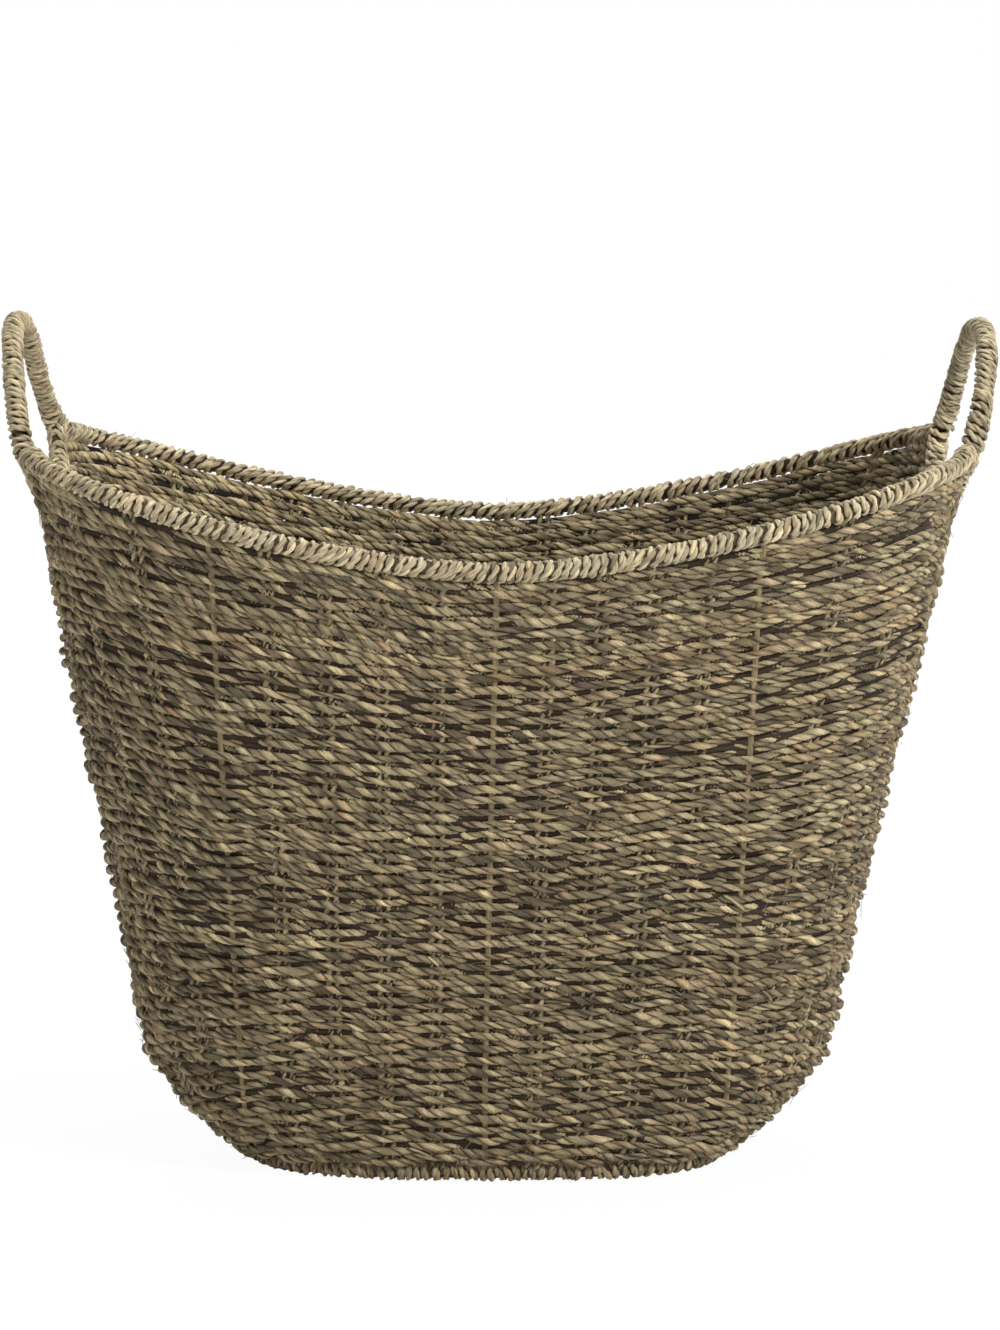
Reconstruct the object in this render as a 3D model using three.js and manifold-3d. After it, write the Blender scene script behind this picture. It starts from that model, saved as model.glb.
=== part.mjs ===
// Magazine basket of woven seagrass cord over a light wire frame, with two fixed loop handles.
// Units are millimetres, +Z is up, +X runs along the basket to its right-hand handle and the
// long front wall faces -Y. The bounding box stands on the origin, centred on it.

import * as THREE from 'three';
import { mergeVertices } from 'three/addons/utils/BufferGeometryUtils.js';
import Module from 'manifold-3d';

const wasm = await Module();
wasm.setup();

// Rim hoop: an oval seen from above, low at the middle of the long sides and high at the corners
const rimHalfLength = 229.5;
const rimHalfDepth = 149;
const rimPlanPower = 3.75;
const rimLowHeight = 309;
const rimHighHeight = 358;
const saddlePower = 1.62;

// Between the two legs of each handle the rim drops again, in a shallow notch, and is drawn
// inward, as is the top of the wall under it
const endDip = 22;
const endDipPower = 4;
const endPull = 8;
const endPullPower = 8;

// Knee: the level where the bulging foot of the wall turns into the straight flared part
const kneeHalfLength = 169;
const kneeHalfDepth = 90;
const kneeHeight = 56;
const kneePlanPower = 2.7;
const kneeBulgePower = 1.22;

// The flared wall is slightly hollow: it is drawn in at its waist and at its shoulder, which
// stand at these shares of the way from the knee to the rim
const waistShare = 0.45;
const waistInset = 3.4;
const shoulderShare = 0.93;
const shoulderInset = 3;

// Base hoop, which sits a little to the left of the rim's centre, as the hand-made body leans
const baseHalfLength = 118;
const baseHalfDepth = 75;
const basePlanPower = 3;
const baseLean = 5.5;

// Wires, woven cord, and stakes. A stake is two cords side by side, which close up at its ends
const hoopDiameter = 5;
const frameWireDiameter = 4;
const stakeWidth = 8.4;
const stakeThickness = 4.2;
const wallThickness = 10;
const bindingDiameter = 10.4;
const baseThickness = 8;
const crossWireDiameter = 4;
const crossWireSpacing = 50;
const clearance = 0.3;

// Handles: arches of wire that rise from the rim at the two ends and lean outward
const handleHalfWidth = 66;
const handleTopHeight = 416.5;
const handleLean = 13;
const handlePlanPower = 2.45;
const handleCoreDiameter = 4.6;
const handleBindingDiameter = 10.4;

// Corner uprights stand at this share of the half-length at the base, the knee and the rim
const cornerShares = [0.9, 0.7, 0.565];

// Counts: stakes between two corner uprights of a long side, and smoothness of the solids
const uprightCount = 40;
const uprightsPerFrameWire = 5;
const columnsPerUpright = 2;
const wireSides = 6;
const stakeSides = 4;
const planTableSteps = 720;
const kneeSteps = 3;
const handleSteps = 16;
const handleSides = 8;
const bindingArcSteps = 6;
const slotArcSteps = 4;
const crossWireCount = 3;

const columnCount = uprightCount * columnsPerUpright;
const hoopRadius = hoopDiameter / 2;
const bindingRadius = bindingDiameter / 2;
const baseHoopHeight = bindingRadius;
const wallLevels = [
  { wallUp: waistShare, inset: waistInset },
  { wallUp: shoulderShare, inset: shoulderInset },
  { wallUp: 1, inset: 0 },
];
const levelCount = kneeSteps + wallLevels.length;

// Materials, in the colours of dry seagrass and painted wire
const seagrass = new THREE.MeshStandardMaterial({ color: 0x8a7a5c, roughness: 0.85, metalness: 0 });
const paleSeagrass = new THREE.MeshStandardMaterial({ color: 0xa8997a, roughness: 0.85, metalness: 0 });
const wire = new THREE.MeshStandardMaterial({ color: 0x9c8a68, roughness: 0.6, metalness: 0.2 });

const basket = new THREE.Group();
basket.name = 'magazine_basket';

function addPart(name, geometry, material) {
  const mesh = new THREE.Mesh(geometry, material);
  mesh.name = name;
  basket.add(mesh);
}

// Solids: closed lofts of rings, and manifold-3d for cuts

function signedVolume(points, index) {
  let volume = 0;
  for (let i = 0; i < index.length; i += 3) {
    const [a, b, c] = [points[index[i]], points[index[i + 1]], points[index[i + 2]]];
    volume += a.dot(new THREE.Vector3().crossVectors(b, c));
  }
  return volume;
}

// A loft joins rings of equal point counts. It closes on its first ring, or has flat end caps
function loft(rings, closed) {
  const size = rings[0].length;
  const points = rings.flat();
  const index = [];
  const spans = closed ? rings.length : rings.length - 1;
  for (let r = 0; r < spans; r++) {
    const near = r * size;
    const far = ((r + 1) % rings.length) * size;
    for (let i = 0; i < size; i++) {
      const j = (i + 1) % size;
      index.push(near + i, near + j, far + j, near + i, far + j, far + i);
    }
  }
  if (!closed) {
    const last = (rings.length - 1) * size;
    for (let i = 1; i < size - 1; i++) {
      index.push(0, i + 1, i, last, last + i, last + i + 1);
    }
  }
  if (signedVolume(points, index) < 0) index.reverse();
  const geometry = new THREE.BufferGeometry().setFromPoints(points);
  geometry.setIndex(index);
  geometry.computeVertexNormals();
  return geometry;
}

function toSolid(geometry) {
  const bare = geometry.clone();
  bare.deleteAttribute('normal');
  bare.deleteAttribute('uv');
  const merged = mergeVertices(bare);
  return new wasm.Manifold(new wasm.Mesh({
    numProp: 3,
    vertProperties: new Float32Array(merged.attributes.position.array),
    triVerts: new Uint32Array(merged.index.array),
  }));
}

function toGeometry(solid) {
  const mesh = solid.getMesh();
  const geometry = new THREE.BufferGeometry();
  geometry.setAttribute('position', new THREE.BufferAttribute(mesh.vertProperties, 3));
  geometry.setIndex(new THREE.BufferAttribute(mesh.triVerts, 1));
  geometry.computeVertexNormals();
  return geometry;
}

function cut(geometry, tools) {
  return toGeometry(tools.reduce((solid, tool) => solid.subtract(toSolid(tool)), toSolid(geometry)));
}

// Circle of points round a centre, in the plane of two unit vectors
function circle(centre, across, along, radius, sides) {
  const ring = [];
  for (let i = 0; i < sides; i++) {
    const angle = ((i + 0.5) * 2 * Math.PI) / sides;
    ring.push(centre.clone()
      .addScaledVector(across, radius * Math.cos(angle))
      .addScaledVector(along, radius * Math.sin(angle)));
  }
  return ring;
}

// Round bar along a chain of points. Its rings keep facing the given side, so it never twists
function bar(points, side, diameter, sides) {
  const rings = points.map((point, i) => {
    const before = points[Math.max(i - 1, 0)];
    const after = points[Math.min(i + 1, points.length - 1)];
    const tangent = after.clone().sub(before).normalize();
    const across = side.clone().addScaledVector(tangent, -side.dot(tangent)).normalize();
    const along = new THREE.Vector3().crossVectors(tangent, across);
    return circle(point, across, along, diameter / 2, sides);
  });
  return loft(rings, false);
}

// Shape of the body. A level runs from 0 at the base hoop to levelCount at the rim hoop

function levelSizes(level) {
  if (level <= kneeSteps) {
    const turn = (level / kneeSteps) * (Math.PI / 2);
    const out = Math.sin(turn) ** (2 / kneeBulgePower);
    const up = 1 - Math.cos(turn) ** (2 / kneeBulgePower);
    return {
      halfLength: THREE.MathUtils.lerp(baseHalfLength, kneeHalfLength, out),
      halfDepth: THREE.MathUtils.lerp(baseHalfDepth, kneeHalfDepth, out),
      power: THREE.MathUtils.lerp(basePlanPower, kneePlanPower, out),
      corner: THREE.MathUtils.lerp(cornerShares[0], cornerShares[1], out),
      kneeUp: up,
      wallUp: 0,
      pull: 0,
    };
  }
  const { wallUp, inset } = wallLevels[level - kneeSteps - 1];
  return {
    halfLength: THREE.MathUtils.lerp(kneeHalfLength, rimHalfLength, wallUp) - inset,
    halfDepth: THREE.MathUtils.lerp(kneeHalfDepth, rimHalfDepth, wallUp) - inset,
    power: THREE.MathUtils.lerp(kneePlanPower, rimPlanPower, wallUp),
    corner: THREE.MathUtils.lerp(cornerShares[1], cornerShares[2], wallUp),
    kneeUp: 1,
    wallUp,
    pull: endPull * wallUp ** endPullPower,
  };
}

// Plan oval of a level as a superellipse, turning from +X through +Y
function planPoint(sizes, angle) {
  const cos = Math.cos(angle);
  const sin = Math.sin(angle);
  return new THREE.Vector2(
    sizes.halfLength * Math.sign(cos) * Math.abs(cos) ** (2 / sizes.power),
    sizes.halfDepth * Math.sign(sin) * Math.abs(sin) ** (2 / sizes.power),
  );
}

// First quarter of a level's oval, with the length run so far at each point
function quarterTable(sizes) {
  const rows = [];
  let length = 0;
  let last = planPoint(sizes, 0);
  for (let i = 0; i <= planTableSteps; i++) {
    const point = planPoint(sizes, (i / planTableSteps) * (Math.PI / 2));
    length += point.distanceTo(last);
    rows.push({ point, length });
    last = point;
  }
  return rows;
}

function pointAtLength(rows, length) {
  let i = 1;
  while (i < rows.length - 1 && rows[i].length < length) i += 1;
  const share = (length - rows[i - 1].length) / (rows[i].length - rows[i - 1].length);
  return rows[i - 1].point.clone().lerp(rows[i].point, share);
}

// Length along the quarter oval at which X has fallen to the corner upright's place
function lengthAtX(rows, x) {
  let i = 1;
  while (i < rows.length - 1 && rows[i].point.x > x) i += 1;
  const share = (x - rows[i - 1].point.x) / (rows[i].point.x - rows[i - 1].point.x);
  return THREE.MathUtils.lerp(rows[i - 1].length, rows[i].length, share);
}

// Depth of the notch between the legs of a handle, as a share: 1 at its middle, 0 at the legs
function notchShare(y) {
  return 1 - Math.min(Math.abs(y) / handleHalfWidth, 1) ** endDipPower;
}

// Plan place of a column. Column 0 is the right-hand end, and the columns are even between the
// end and the corner upright, and again between that and the middle of the long side. The
// corner uprights stand over the base, so at the rim they lie left of centre, as the base does
function columnPlan(sizes, rows, column) {
  const quarter = columnCount / 4;
  const side = ((column % columnCount) + columnCount) % columnCount;
  const towardRight = side <= quarter || side >= 3 * quarter;
  const towardBack = side <= 2 * quarter;
  const fold = side % (2 * quarter);
  const step = fold <= quarter ? fold : 2 * quarter - fold;
  const leanNow = baseLean * (1 - sizes.wallUp);
  const drift = (baseLean - leanNow) * (towardRight ? -1 : 1);
  const cornerLength = lengthAtX(rows, sizes.corner * sizes.halfLength + drift);
  const cornerStep = quarter / 2;
  const length = step <= cornerStep
    ? (step / cornerStep) * cornerLength
    : THREE.MathUtils.lerp(cornerLength, rows[rows.length - 1].length, step / cornerStep - 1);
  const point = pointAtLength(rows, length);
  const x = point.x - sizes.pull * notchShare(point.y);
  return new THREE.Vector2(towardRight ? x : -x, towardBack ? point.y : -point.y);
}

// Height of the rim over a point of its oval
function rimHeight(plan) {
  const endShare = Math.min(Math.abs(plan.x) / rimHalfLength, 1);
  const saddle = (rimHighHeight - rimLowHeight) * endShare ** saddlePower;
  return rimLowHeight + saddle - endDip * notchShare(plan.y);
}

// Points of the middle of the wall: one row for each level, one point for each column
function bodyGrid() {
  const rimSizes = levelSizes(levelCount);
  const rimRows = quarterTable(rimSizes);
  const grid = [];
  for (let level = 0; level <= levelCount; level++) {
    const sizes = levelSizes(level);
    const rows = quarterTable(sizes);
    const ring = [];
    for (let column = 0; column < columnCount; column++) {
      const plan = columnPlan(sizes, rows, column);
      const top = rimHeight(columnPlan(rimSizes, rimRows, column));
      const low = THREE.MathUtils.lerp(baseHoopHeight, kneeHeight, sizes.kneeUp);
      const height = THREE.MathUtils.lerp(low, top, sizes.wallUp);
      const lean = baseLean * (1 - sizes.wallUp);
      ring.push(new THREE.Vector3(plan.x - lean, plan.y, height));
    }
    grid.push(ring);
  }
  return grid;
}

const grid = bodyGrid();

function columnPoints(column) {
  return grid.map((ring) => ring[column]);
}

// Unit vectors at a grid point: round the basket, up the wall, and out of the wall
function wallFrame(level, column) {
  const ring = grid[level];
  const round = ring[(column + 1) % columnCount].clone()
    .sub(ring[(column + columnCount - 1) % columnCount]).normalize();
  const below = grid[Math.max(level - 1, 0)][column];
  const above = grid[Math.min(level + 1, levelCount)][column];
  const up = above.clone().sub(below);
  up.addScaledVector(round, -up.dot(round)).normalize();
  const out = new THREE.Vector3().crossVectors(round, up).normalize();
  return { round, up, out };
}

// Directions in which a hoop leaves a column to its two sides
function hoopDirections(level, column) {
  return [1, columnCount - 1].map((step) => (
    grid[level][(column + step) % columnCount].clone().sub(grid[level][column]).normalize()));
}

// Distance to cut a bar back along its own line, so that its square end keeps the given gap to
// the hoop it meets, although the two cross on the slant
function slantSetBack(direction, hoopWays, setBack, halfWidth) {
  return Math.max(...hoopWays.map((way) => {
    const slant = Math.abs(direction.dot(way));
    return (setBack + halfWidth * slant) / Math.sqrt(1 - slant * slant);
  }));
}

// Chain of points along a column, cut back from the hoops by the given distance
function columnChain(column, setBack, halfWidth) {
  const points = columnPoints(column);
  const ends = [[0, 1], [levelCount, levelCount - 1]].map(([level, next]) => {
    const direction = points[next].clone().sub(points[level]).normalize();
    const ways = hoopDirections(level, column);
    const back = setBack > 0 ? slantSetBack(direction, ways, setBack, halfWidth) : 0;
    return points[level].clone().addScaledVector(direction, back);
  });
  return [ends[0], ...points.slice(1, levelCount), ends[1]];
}

function isFrameWire(upright) {
  return upright % uprightsPerFrameWire === 0;
}

function uprightSize(upright) {
  return isFrameWire(upright)
    ? { width: frameWireDiameter, thickness: frameWireDiameter, sides: wireSides }
    : { width: stakeWidth, thickness: stakeThickness, sides: stakeSides };
}

// Upright in the middle of the wall, whose wide side faces out of the wall all the way up. It
// is no wider than thick at its ends. Its flat sides, and not its corners, have the full size
function uprightBar(upright, setBack, extra) {
  const column = upright * columnsPerUpright;
  const { width, thickness, sides } = uprightSize(upright);
  const stretch = (width + extra) / (thickness + extra);
  const cornerRadius = (thickness + extra) / 2 / Math.cos(Math.PI / sides);
  const rings = columnChain(column, setBack, (thickness + extra) / 2).map((point, level) => {
    const { round, out } = wallFrame(level, column);
    if (level > 0 && level < levelCount) round.multiplyScalar(stretch);
    return circle(point, round, out, cornerRadius, sides);
  });
  return loft(rings, false);
}

// Woven wall: a flared shell with a bore for each upright, open at the top
function wovenWall() {
  const columns = [];
  for (let column = 0; column < columnCount; column++) {
    const chain = columnChain(column, bindingRadius + clearance, 0);
    const outer = [];
    const inner = [];
    chain.forEach((point, level) => {
      const { out } = wallFrame(level, column);
      outer.push(point.clone().addScaledVector(out, wallThickness / 2));
      inner.push(point.clone().addScaledVector(out, -wallThickness / 2));
    });
    columns.push([...outer, ...inner.reverse()]);
  }
  const bores = [];
  for (let upright = 0; upright < uprightCount; upright++) {
    bores.push(uprightBar(upright, 0, 2 * clearance));
  }
  return cut(loft(columns, true), bores);
}

// Columns that a hoop and its binding bend at: the small base hoop bends only at the uprights
function hoopColumns(level) {
  const step = level === 0 ? columnsPerUpright : 1;
  return grid[level].map((_, column) => column).filter((column) => column % step === 0);
}

function hoop(level, diameter) {
  const rings = hoopColumns(level).map((column) => {
    const { out, up } = wallFrame(level, column);
    return circle(grid[level][column], out, up, diameter / 2, wireSides);
  });
  return loft(rings, true);
}

// Binding round a hoop: a round section with a slot toward the wall, which the uprights enter
function bindingSection(centre, out, toWall) {
  const slot = hoopRadius + clearance;
  const lip = Math.asin(slot / bindingRadius);
  const section = [];
  for (let i = 0; i <= bindingArcSteps; i++) {
    const angle = lip + (i / bindingArcSteps) * 2 * (Math.PI - lip);
    section.push(centre.clone()
      .addScaledVector(toWall, bindingRadius * Math.cos(angle))
      .addScaledVector(out, bindingRadius * Math.sin(angle)));
  }
  for (let i = 0; i <= slotArcSteps; i++) {
    const angle = Math.PI * (1.5 - i / slotArcSteps);
    section.push(centre.clone()
      .addScaledVector(toWall, slot * Math.cos(angle))
      .addScaledVector(out, slot * Math.sin(angle)));
  }
  return section;
}

function binding(level, toward) {
  const rings = hoopColumns(level).map((column) => {
    const centre = grid[level][column];
    const { out, round } = wallFrame(level, column);
    const toWall = grid[toward][column].clone().sub(centre);
    toWall.addScaledVector(round, -toWall.dot(round)).normalize();
    const across = out.clone().addScaledVector(toWall, -out.dot(toWall)).normalize();
    return bindingSection(centre, across, toWall);
  });
  return loft(rings, true);
}

// Handles

// Place on the rim hoop where the back leg of a handle stands, and the direction in which the
// hoop runs there. The sign is 1 for the right-hand handle and -1 for the left-hand one
function handleFoot(sign) {
  const ring = grid[levelCount].filter((point) => point.x * sign > 0 && point.y > 0);
  ring.sort((a, b) => a.y - b.y);
  const next = ring.findIndex((point) => point.y > handleHalfWidth);
  const [low, high] = [ring[next - 1], ring[next]];
  const foot = low.clone().lerp(high, (handleHalfWidth - low.y) / (high.y - low.y));
  return { foot, hoopWay: high.clone().sub(low).normalize() };
}

// Arch of a handle from one foot to the other. It can be cut back from both feet
function handleChain(sign, setBack, barRadius) {
  const { foot, hoopWay } = handleFoot(sign);
  const points = [];
  for (let i = 0; i <= handleSteps; i++) {
    const turn = (i / handleSteps) * Math.PI;
    const rise = Math.sin(turn) ** (2 / handlePlanPower);
    const side = Math.sign(Math.cos(turn)) * Math.abs(Math.cos(turn)) ** (2 / handlePlanPower);
    points.push(new THREE.Vector3(
      foot.x + sign * handleLean * rise,
      handleHalfWidth * side,
      THREE.MathUtils.lerp(foot.z, handleTopHeight, rise),
    ));
  }
  if (setBack > 0) {
    const last = points.length - 1;
    const upBack = points[1].clone().sub(points[0]).normalize();
    const upFront = points[last - 1].clone().sub(points[last]).normalize();
    const back = slantSetBack(upBack, [hoopWay], setBack, barRadius);
    points[0].addScaledVector(upBack, back);
    points[last].addScaledVector(upFront, back);
  }
  return points;
}

function handleBar(sign, setBack, diameter, sides) {
  const points = handleChain(sign, setBack, diameter / 2);
  return bar(points, new THREE.Vector3(sign, 0, 0), diameter, sides);
}

// A hoop is a polygon inside its circle, so its mouth is cut for the circle round that polygon
const mouthAllowance = 1 / Math.cos(Math.PI / wireSides);

// Wrapping of a handle: a sleeve on the core whose mouths are cut to sit on the bound rim
function handleBinding(sign) {
  const sleeve = handleBar(sign, 0, handleBindingDiameter, handleSides);
  const bore = handleBar(sign, 0, handleCoreDiameter + 2 * clearance, wireSides);
  const rimMouth = hoop(levelCount, bindingDiameter * mouthAllowance + 2 * clearance);
  return cut(sleeve, [bore, rimMouth]);
}

function rimBinding() {
  const legs = [1, -1].map((sign) => (
    handleBar(sign, 0, handleCoreDiameter + 2 * clearance, wireSides)));
  return cut(binding(levelCount, levelCount - 1), legs);
}

// Base: a flat woven panel inside the base hoop, on three cross wires

// Outline of the panel: the base hoop's, drawn in by the given distance
function baseOutline(setBack) {
  return hoopColumns(0).map((column) => {
    const { round } = wallFrame(0, column);
    const point = grid[0][column];
    return new THREE.Vector2(point.x - round.y * setBack, point.y + round.x * setBack);
  });
}

function crossWirePlace(wireNumber) {
  return (wireNumber - (crossWireCount - 1) / 2) * crossWireSpacing;
}

// Half the run of a cross wire, inside the base panel's outline at its place
function crossWireReach(place, setBack) {
  const length = baseHalfLength - setBack;
  const depth = baseHalfDepth - setBack;
  return depth * (1 - (Math.abs(place) / length) ** basePlanPower) ** (1 / basePlanPower);
}

function crossWire(wireNumber, reach, diameter) {
  const geometry = new THREE.CylinderGeometry(diameter / 2, diameter / 2, 2 * reach, handleSides);
  geometry.translate(crossWirePlace(wireNumber) - baseLean, 0, 0);
  geometry.translate(0, 0, baseThickness / 2);
  return geometry;
}

function wovenBase() {
  const shape = new THREE.Shape(baseOutline(bindingRadius + clearance));
  const panel = new THREE.ExtrudeGeometry(shape, {
    depth: baseThickness, bevelEnabled: false, curveSegments: 1,
  });
  const bores = [];
  for (let number = 0; number < crossWireCount; number++) {
    bores.push(crossWire(number, baseHalfDepth, crossWireDiameter + 2 * clearance));
  }
  return cut(panel, bores);
}

function buildBasket() {
  addPart('base_hoop', hoop(0, hoopDiameter), wire);
  addPart('rim_hoop', hoop(levelCount, hoopDiameter), wire);
  for (let number = 0; number < crossWireCount; number++) {
    const reach = crossWireReach(crossWirePlace(number), bindingRadius + crossWireDiameter);
    addPart(`base_cross_wire_${number + 1}`, crossWire(number, reach, crossWireDiameter), wire);
  }
  let frameNumber = 0;
  let stakeNumber = 0;
  for (let upright = 0; upright < uprightCount; upright++) {
    const geometry = uprightBar(upright, hoopRadius + clearance, 0);
    if (isFrameWire(upright)) {
      frameNumber += 1;
      addPart(`frame_upright_${frameNumber}`, geometry, wire);
    } else {
      stakeNumber += 1;
      addPart(`stake_${String(stakeNumber).padStart(2, '0')}`, geometry, seagrass);
    }
  }
  addPart('woven_wall', wovenWall(), seagrass);
  addPart('woven_base', wovenBase(), seagrass);
  addPart('base_binding', binding(0, 1), paleSeagrass);
  addPart('rim_binding', rimBinding(), paleSeagrass);
  for (const [side, sign] of [['right', 1], ['left', -1]]) {
    const core = handleBar(sign, hoopRadius + clearance, handleCoreDiameter, wireSides);
    addPart(`handle_core_${side}`, core, wire);
    addPart(`handle_binding_${side}`, handleBinding(sign), paleSeagrass);
  }
}

buildBasket();

export default basket;
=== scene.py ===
# Magazine basket: the visual model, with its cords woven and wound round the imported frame.
# Lengths are millimetres and become metres when a mesh is made. The floor, the lamps and the
# camera are in metres.

import math

import bpy
import numpy as np
from mathutils import Matrix


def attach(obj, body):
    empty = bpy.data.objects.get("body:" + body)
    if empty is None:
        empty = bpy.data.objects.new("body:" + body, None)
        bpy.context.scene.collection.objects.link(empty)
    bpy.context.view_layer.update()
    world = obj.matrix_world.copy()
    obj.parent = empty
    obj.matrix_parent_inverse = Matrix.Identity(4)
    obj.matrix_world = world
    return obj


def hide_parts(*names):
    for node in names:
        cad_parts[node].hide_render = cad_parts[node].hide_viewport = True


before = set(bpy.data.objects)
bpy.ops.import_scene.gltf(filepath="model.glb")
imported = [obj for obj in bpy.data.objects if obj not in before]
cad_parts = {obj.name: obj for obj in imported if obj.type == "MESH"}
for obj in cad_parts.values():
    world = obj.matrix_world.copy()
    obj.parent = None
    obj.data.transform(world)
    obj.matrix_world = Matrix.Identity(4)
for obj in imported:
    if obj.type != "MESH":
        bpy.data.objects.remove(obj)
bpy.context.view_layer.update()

MM = 0.001
TAU = 2 * math.pi

# Body of the basket, with the sizes of its source. The waist and the shoulder are each a
# share of the way up the wall and how far the wall is drawn in there
RIM_HALF_LENGTH, RIM_HALF_DEPTH, RIM_POWER = 229.5, 149.0, 3.75
RIM_LOW, RIM_HIGH, SADDLE_POWER = 309.0, 358.0, 1.62
END_DIP, END_DIP_POWER = 22.0, 4.0
KNEE_HALF_LENGTH, KNEE_HALF_DEPTH, KNEE_POWER = 169.0, 90.0, 2.7
KNEE_HEIGHT, KNEE_BULGE_POWER = 56.0, 1.22
BASE_HALF_LENGTH, BASE_HALF_DEPTH, BASE_POWER = 118.0, 75.0, 3.0
BASE_LEAN = 5.5
WAIST, SHOULDER = (0.45, 3.4), (0.93, 3.0)
END_PULL, END_PULL_POWER = 8.0, 8
CORNER_SHARES = (0.9, 0.7, 0.565)
COLUMNS = 80
UPRIGHTS = 40
BINDING_RADIUS = 5.2
NOTCH_HALF_WIDTH = 66.0

# Handles, each bent by hand to its own arch. The winding stops a bare length before the front
# foot, and the left handle has a few turns more at that foot
LEFT_HANDLE = {"word": "left", "sign": -1, "half": 48.0, "spread": 33.0, "power": 2.9,
               "lean": 14.8, "lean_power": 0.5, "top": 417.0, "bare": 16, "foot_turns": True}
RIGHT_HANDLE = {"word": "right", "sign": 1, "half": 66.0, "spread": 0.0, "power": 2.45,
                "lean": 12.6, "lean_power": 0.7, "top": 415.0, "bare": 5, "foot_turns": False}
LEG_SPREAD_POWER = 1.8

# How finely the body is sampled: round it, over the knee, up the wall and along an oval
SAMPLES = 960
KNEE_LEVELS, WALL_LEVELS = 13, 33
OVAL_POINTS = 1441

# Helpers
RING_NOISE_PEAK, LINE_NOISE_SIZE, EXTRA_KNOTS = 1.6, 0.8, 4


def rng_for(name):
    return np.random.default_rng([ord(c) for c in name])


def between(rng, low, width, shape=None):
    return low + width * rng.random(shape)


def lerp(a, b, share):
    return a + (b - a) * share


def smooth(share):
    share = np.clip(share, 0, 1)
    return share * share * (3 - 2 * share)


def ramp(value, start, length):
    """Rises from 0 at the start to 1 over the length, which may be negative."""
    return smooth((value - start) / length)


def unit(vectors):
    return vectors / np.maximum(np.linalg.norm(vectors, axis=-1, keepdims=True), 1e-9)


def dot(a, b):
    return (a * b).sum(-1, keepdims=True)


def linear(rgb):
    c = np.asarray(rgb, float) / 255
    return np.where(c <= 0.04045, c / 12.92, ((c + 0.055) / 1.055) ** 2.4)


def ring_noise(rng, count, low, high, terms=7):
    """Smooth random wave round a ring, with whole waves between low and high, about -1 to 1."""
    turn = np.arange(count) / count
    wave = np.zeros(count)
    for _ in range(terms):
        wave += np.sin(TAU * (rng.integers(low, high + 1) * turn + rng.random()))
    return wave / math.sqrt(terms / 2) / RING_NOISE_PEAK


def line_noise(rng, length, scale, size=1.0):
    """Smooth random wave at the given places along a line, about -size to size."""
    knots = rng.normal(size=int(length[-1] / scale) + EXTRA_KNOTS)
    place = length / scale
    knot = np.floor(place).astype(int)
    share = smooth(place - knot)
    return (knots[knot] * (1 - share) + knots[knot + 1] * share) * LINE_NOISE_SIZE * size


def places(points):
    """Length of a line up to each of its points."""
    return np.concatenate([[0], np.cumsum(np.linalg.norm(np.diff(points, axis=0), axis=1))])


def resample(points, step, closed):
    """Points at even steps along a line, the place of each along it, and its length."""
    line = np.vstack([points, points[:1]]) if closed else points
    place = places(line)
    count = max(int(round(place[-1] / step)), 3)
    want = np.linspace(0, place[-1], count + 1)
    if closed:
        want = want[:-1]
    out = np.stack([np.interp(want, place, column) for column in line.T], 1)
    return out, want, place[-1]


def tangents(points, closed):
    if closed:
        return unit(np.roll(points, -1, 0) - np.roll(points, 1, 0))
    return unit(np.gradient(points, axis=0))


def oval_reach(half, place, other_half, power):
    """Half-length of an oval at a place along its other axis."""
    return half * (1 - (abs(place) / other_half) ** power) ** (1 / power)


# Surface of the body and its rows. A run of a short row and a pair of short rows are left out
# where they have fewer samples than the shortest
ROW_PITCH = 3.2
NOTCH_FADE = 4
SHORTEST_RUN = 24
SHORTEST_PAIR = 4 * SHORTEST_RUN
PAIR_ROUNDING = 0.4
PAIR_RAMP = (0.1, 1.5)
RANK_STEP, RANK_START = 5, 3
PRESENT = 0.3


def oval(half_length, half_depth, power):
    angle = np.linspace(0, math.pi / 2, OVAL_POINTS)
    x = half_length * np.cos(angle) ** (2 / power)
    y = half_depth * np.sin(angle) ** (2 / power)
    length = np.concatenate([[0], np.cumsum(np.hypot(np.diff(x), np.diff(y)))])
    return x, y, length


def leg_gap(y):
    """Depth of the notch in the ends of the rim, as a share: 1 at its middle, 0 at its edges."""
    return 1 - np.minimum(np.abs(y) / NOTCH_HALF_WIDTH, 1) ** END_DIP_POWER


def plan(sizes, u):
    """Plan place of each column number, which need not be whole, on one level."""
    x, y, length = oval(sizes["half_length"], sizes["half_depth"], sizes["power"])
    quarter = COLUMNS / 4
    side = np.mod(u, COLUMNS)
    right = (side <= quarter) | (side >= 3 * quarter)
    back = side <= 2 * quarter
    fold = np.mod(side, 2 * quarter)
    step = np.where(fold <= quarter, fold, 2 * quarter - fold)
    drift = BASE_LEAN * sizes["wall_up"] * np.where(right, -1, 1)
    corner_x = sizes["corner"] * sizes["half_length"] + drift
    corner = np.interp(corner_x, x[::-1], length[::-1])
    half = quarter / 2
    place = np.where(step <= half, step / half * corner,
                     lerp(corner, length[-1], step / half - 1))
    plan_x = np.interp(place, length, x)
    plan_y = np.interp(place, length, y)
    pull = END_PULL * sizes["wall_up"] ** END_PULL_POWER * leg_gap(plan_y)
    return (plan_x - pull) * np.where(right, 1, -1), plan_y * np.where(back, 1, -1)


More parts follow.
